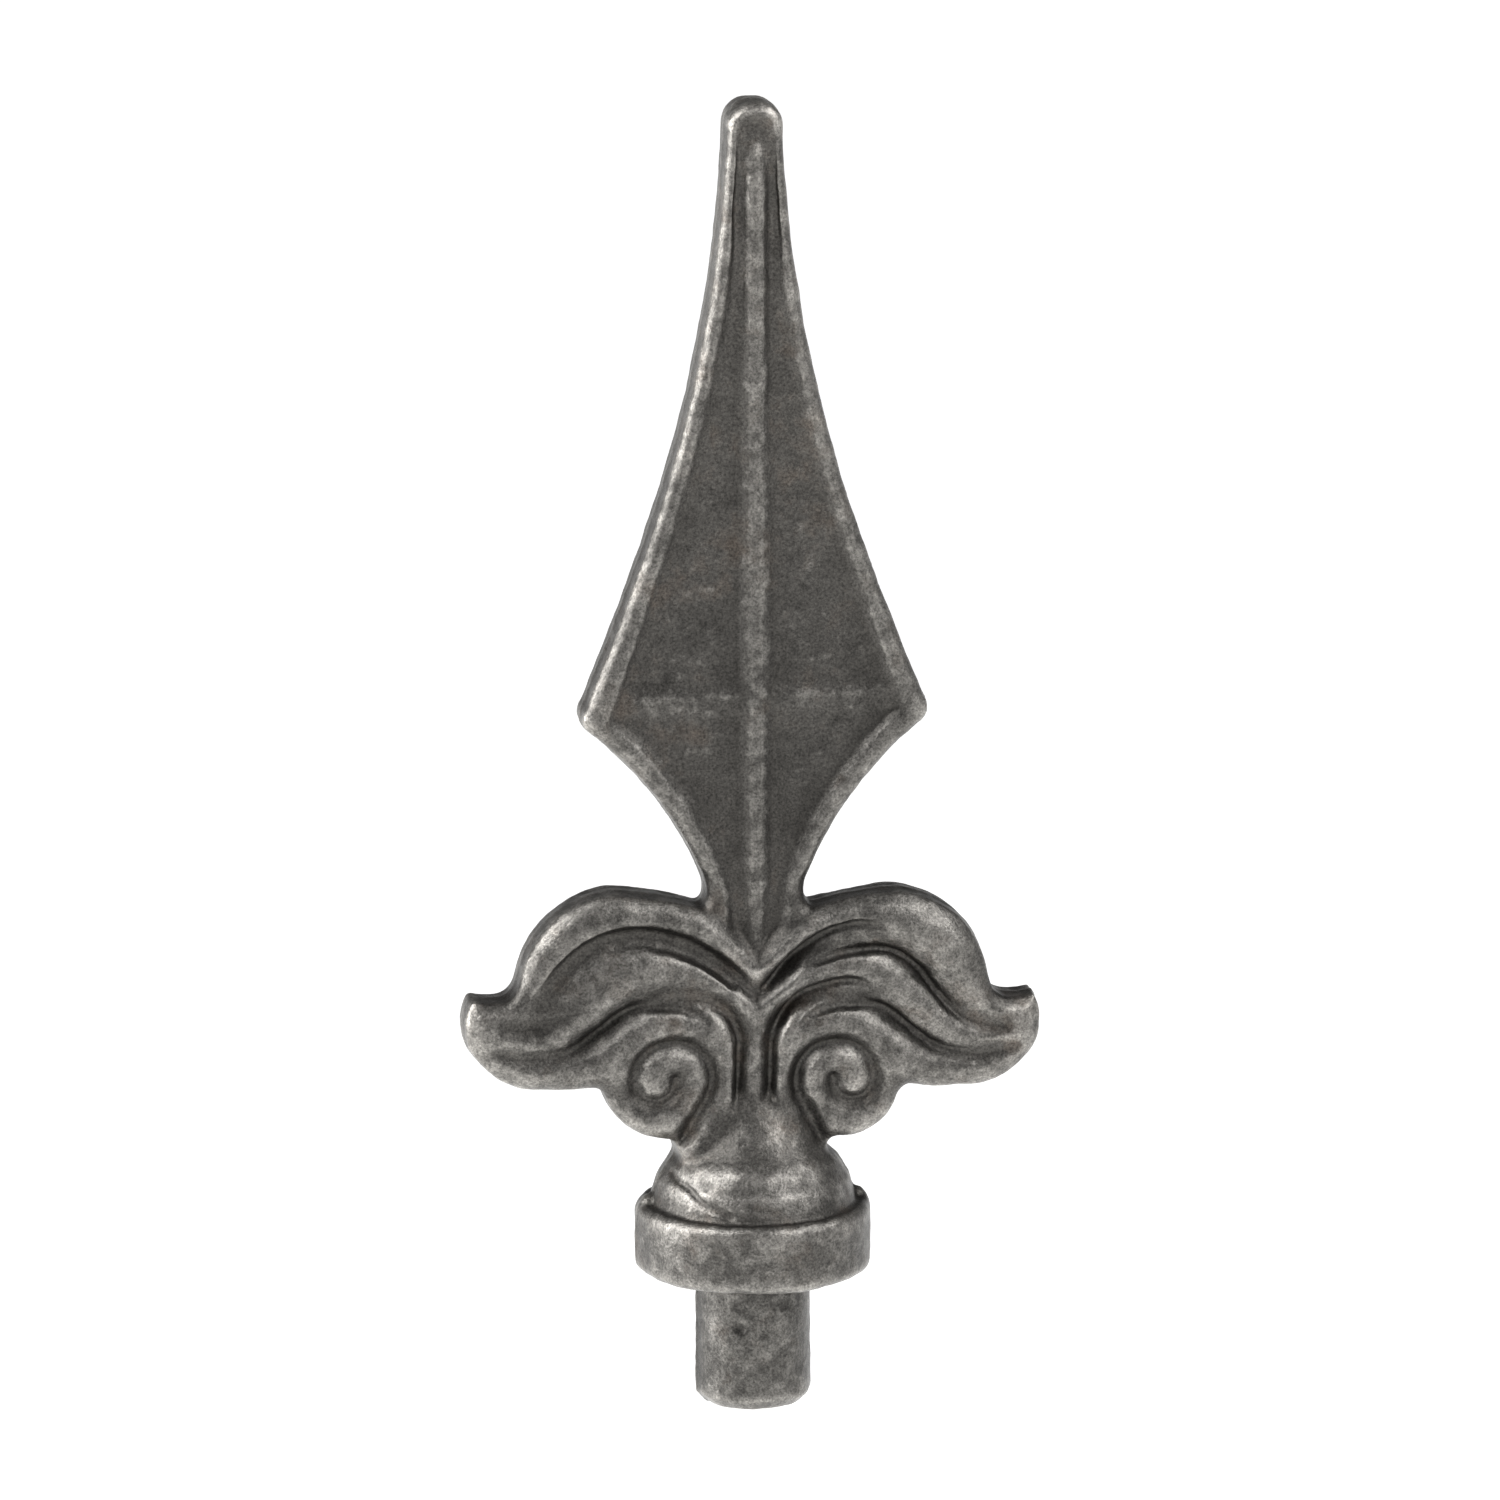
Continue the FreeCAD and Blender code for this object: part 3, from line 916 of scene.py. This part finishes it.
    def soften_neck(self, casting: bpy.types.Object) -> None:
        """Melts the stems' feet into the bulb's neck, and rounds the collar's rim and the tip.

        Args:
            casting: the finely meshed skin.
        """
        spots = self.spots(casting)
        rise = np.interp(spots[:, 2], self.neck_span, RISE_AND_FALL)
        inside = np.interp(np.abs(spots[:, 0]), self.neck_width, FALL)
        self.smooth_where(casting, rise * inside, self.neck_passes)
        rim = np.interp(spots[:, 2], self.collar_span, RISE_AND_FALL)
        outside = np.interp(np.hypot(spots[:, 0], spots[:, 1]), self.collar_width, RISE)
        self.smooth_where(casting, rim * outside, self.collar_passes)
        head = np.interp(spots[:, 2], self.head_span, RISE)
        self.smooth_where(casting, head, self.head_passes)

    def swell(self, casting: bpy.types.Object) -> None:
        """Rounds the lobes of the leaves and, less, the blade's rims, in depth only.

        The skin is mixed with a copy whose depth is smoothed over a long way, so that a flat
        lobe becomes a cushion while its outline and the lines cut in it stay. Before that the
        leaves' lines are softened, on the left wing more than on the right.

        Args:
            casting: the finely meshed skin.
        """
        spots = self.spots(casting)
        wings = np.interp(spots[:, 2], self.leaf_span, RISE_AND_FALL)
        wings *= np.interp(np.abs(spots[:, 0]), self.stem_width, (self.stem_share, 1.0))
        from_eye = np.hypot(np.abs(spots[:, 0]) - self.eye[0], spots[:, 2] - self.eye[1])
        softer = np.maximum(
            np.interp(spots[:, 0], self.left_to_right, (1.0, self.right_share)),
            np.interp(from_eye, self.eye_soft_span, (self.eye_soft_share, 0.0)))
        self.smooth_where(casting, wings * softer, self.leaf_passes)
        copy = twin(casting, "swollen_skin")
        wings *= np.interp(from_eye, self.eye_swell_span, (self.eye_share, 1.0))
        blade = np.interp(spots[:, 2], self.blade_span, (0.0, self.blade_share))
        self.smooth_where(copy, np.maximum(wings, blade), self.swell_passes,
                          factor=self.swell_pull, use_x=False, use_z=False)
        only(casting)
        copy.select_set(True)
        bpy.ops.object.join_shapes()
        casting.data.shape_keys.key_blocks[-1].value = self.swell_share
        only(casting)
        bpy.ops.object.convert(target="MESH")
        bpy.data.objects.remove(copy)

    def crown(self, casting: bpy.types.Object) -> None:
        """Thins the leaves towards their outline, so that each is fullest in its middle.

        The leaves' outline is laid out on a fine grid and blurred, which tells how near the
        outline each point is.

        Args:
            casting: the finely meshed skin.
        """
        spots = self.spots(casting)
        places = (spots[:, [0, 2]] + (self.plan_left, 0.0)) / self.crown_cell
        low, high = self.plan_zone
        leaf = (spots[:, 2] > low) & (spots[:, 2] < high)
        plan = np.zeros(self.plan_cells)
        across, up = np.round(places[leaf]).astype(int).T
        plan[across, up] = 1.0
        steps = np.arange(-self.crown_cells, self.crown_cells + 1) * self.crown_cell
        bell = np.exp(-0.5 * (steps / self.crown_reach) ** 2)
        bell /= bell.sum()
        for axis in (0, 1):
            plan = np.apply_along_axis(np.convolve, axis, plan, bell, "same")
        near_outline = np.clip((self.crown_full - sampled(plan, places)) / self.crown_slope, 0.0, 1.0)
        wings = np.interp(spots[:, 2], self.crown_span, RISE_AND_FALL)
        spots[:, 1] *= 1.0 - self.crown_fall / WING_HALF_DEPTH * near_outline * wings
        casting.data.vertices.foreach_set("co", (spots * MM).ravel())
        casting.data.update()

    def soften(self, casting: bpy.types.Object) -> None:
        """Runs all of it into one skin with the rounded edges and waves of a sand casting.

        Args:
            casting: the worked mesh.
        """
        apply_modifier(casting, "REMESH", mode="VOXEL", voxel_size=self.voxel * MM)
        apply_modifier(casting, "SMOOTH", factor=HALF_WAY, iterations=self.edge_passes)
        self.soften_neck(casting)
        self.swell(casting)
        self.crown(casting)
        for name, length, height in (("wave", self.wave_length, self.wave_height),
                                     ("skin", self.skin_length, self.skin_height)):
            lumps = bpy.data.textures.new(name, "CLOUDS")
            lumps.noise_scale = length * MM
            lumps.noise_depth = 2
            apply_modifier(casting, "DISPLACE", texture=lumps, texture_coords="LOCAL",
                           strength=height * MM, mid_level=0.5)
        count = triangle_count(casting)
        if count > self.triangles:
            apply_modifier(casting, "DECIMATE", ratio=self.triangles / count)
        only(casting)
        bpy.ops.object.shade_smooth()
        log.info("skin: %d triangles before thinning, %d after", count, triangle_count(casting))

    def stand_out(self, casting: bpy.types.Object, name: str, passes: int) -> None:
        """Stores how far each point stands out of its neighbourhood, in millimetres.

        Args:
            casting: the finished mesh.
            name: the attribute's name.
            passes: how often the neighbourhood is averaged, which sets its size.
        """
        mean = twin(casting, "mean_skin")
        apply_modifier(mean, "SMOOTH", factor=HALF_WAY, iterations=passes)
        count = len(casting.data.vertices)
        skin = np.zeros(count * 3, np.float32)
        averaged = np.zeros(count * 3, np.float32)
        outward = np.zeros(count * 3, np.float32)
        casting.data.vertices.foreach_get("co", skin)
        mean.data.vertices.foreach_get("co", averaged)
        casting.data.vertex_normals.foreach_get("vector", outward)
        height = ((skin - averaged) * outward).reshape(-1, 3).sum(axis=1) / MM
        casting.data.attributes.new(name, "FLOAT", "POINT").data.foreach_set("value", height)
        bpy.data.objects.remove(mean)
        log.info("%s: from %.2f to %.2f mm", name, height.min(), height.max())

    def build(self, node: bpy.types.Object) -> None:
        """Makes and dresses the casting.

        Args:
            node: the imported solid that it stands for.
        """
        casting = self.blank(node)
        self.work(casting)
        self.soften(casting)
        self.stand_out(casting, "edge", self.near_passes)
        # The far relief sorts the hollows that get oxide colour and painted shade
        self.stand_out(casting, "relief", self.far_passes)
        casting.data.materials.clear()
        casting.data.materials.append(AsCastIron().material())
        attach(casting, "root")
        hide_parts(node.name)
        log.info("casting: %d points", len(casting.data.vertices))


@dataclass(frozen=True)
class SoftBox:
    """A soft lamp: where it hangs round the finial, how large it is, and its power in watts."""

    name: str
    azimuth: float
    elevation: float
    distance: float
    width: float
    height: float
    watts: float


@dataclass
class Studio:
    """White paper under the finial, soft lamps on both sides, and the camera.

    The world is white at and below the level, as the paper is, and dim above it.
    """

    floor_z: float = -260.0
    floor_half: float = 6000.0
    soft_boxes: tuple[SoftBox, ...] = (
        SoftBox("left_soft_box", -95.0, 10.0, 700.0, 400.0, 600.0, 5.8),
        SoftBox("high_left_soft_box", -66.0, 42.0, 700.0, 400.0, 500.0, 4.0),
        SoftBox("high_right_soft_box", 66.0, 42.0, 700.0, 400.0, 500.0, 2.4),
        SoftBox("right_soft_box", 33.0, 30.0, 800.0, 450.0, 550.0, 2.5))
    white_below: float = 0.03
    dim_above: float = 0.14
    dim_strength: float = 0.13
    aim: Spot = (-0.23, 0.0, 56.2)
    azimuth: float = -9.5
    elevation: float = 13.5
    distance: float = 1551.0
    view_width: float = 157.8
    roll: float = -0.06
    sensor: float = 36.0
    sight_m: float = 50.0

    def lay_floor(self) -> None:
        """Lays the paper."""
        bpy.ops.mesh.primitive_plane_add(size=2.0 * self.floor_half * MM,
                                         location=(0.0, 0.0, self.floor_z * MM))
        floor = bpy.context.active_object
        floor.name = "studio_floor"
        floor.data.materials.append(StudioPaper().material())

    def around(self, azimuth: float, elevation: float, distance: float) -> Vector:
        """A place round the finial's middle.

        Args:
            azimuth: degrees from the front, to the right seen from there.
            elevation: degrees above the level.
            distance: millimetres from the aim.

        Returns:
            The place in metres.
        """
        turn, rise = math.radians(azimuth), math.radians(elevation)
        out = Vector((math.sin(turn) * math.cos(rise), -math.cos(turn) * math.cos(rise), math.sin(rise)))
        return (Vector(self.aim) + out * distance) * MM

    def facing(self, place: Vector) -> Euler:
        """The turn with which a lamp or camera at a place in metres looks at the finial."""
        return (place - Vector(self.aim) * MM).to_track_quat("Z", "Y").to_euler()

    def light(self) -> None:
        """Lights the finial and sets the world."""
        for box in self.soft_boxes:
            place = self.around(box.azimuth, box.elevation, box.distance)
            bpy.ops.object.light_add(type="AREA", location=place)
            lamp = bpy.context.active_object
            lamp.name = box.name
            lamp.data.shape = "RECTANGLE"
            lamp.data.size = box.width * MM
            lamp.data.size_y = box.height * MM
            lamp.data.energy = box.watts
            lamp.rotation_euler = self.facing(place)
        world = bpy.data.worlds.new("studio_air")
        bpy.context.scene.world = world
        world.use_nodes = True
        tree = world.node_tree
        tree.nodes.clear()
        sky = add_node(tree, "ShaderNodeTexCoord")
        split = add_node(tree, "ShaderNodeSeparateXYZ", links={0: sky.outputs["Generated"]})
        fall = add_node(tree, "ShaderNodeMapRange", {
            FROM_MIN: self.white_below, FROM_MAX: self.dim_above,
            TO_MIN: 1.0, TO_MAX: self.dim_strength}, {VALUE: split.outputs["Z"]})
        back = add_node(tree, "ShaderNodeBackground", {"Color": (1.0, 1.0, 1.0, 1.0)},
                        {"Strength": fall.outputs["Result"]})
        add_node(tree, "ShaderNodeOutputWorld", links={"Surface": back.outputs["Background"]})

    def set_camera(self) -> None:
        """Sets the camera where the photograph was taken from."""
        place = self.around(self.azimuth, self.elevation, self.distance)
        bpy.ops.object.camera_add(location=place)
        camera = bpy.context.active_object
        camera.rotation_euler = self.facing(place)
        camera.rotation_euler.rotate_axis("Z", math.radians(self.roll))
        camera.data.sensor_width = self.sensor
        camera.data.lens = self.sensor * self.distance / self.view_width
        camera.data.clip_end = self.sight_m
        bpy.context.scene.camera = camera

    def build(self) -> None:
        """Sets up the whole studio."""
        self.lay_floor()
        self.light()
        self.set_camera()
        bpy.context.scene.view_settings.view_transform = "Standard"
        log.info("studio: lens %.0f mm", bpy.context.scene.camera.data.lens)


def main() -> None:
    """Builds the finial's looks and its studio."""
    logging.basicConfig(level=logging.INFO, format="%(name)s: %(message)s")
    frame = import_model()
    Casting().build(frame["nodes"]["spear_finial"])
    Studio().build()


if __name__ == "__main__":
    main()
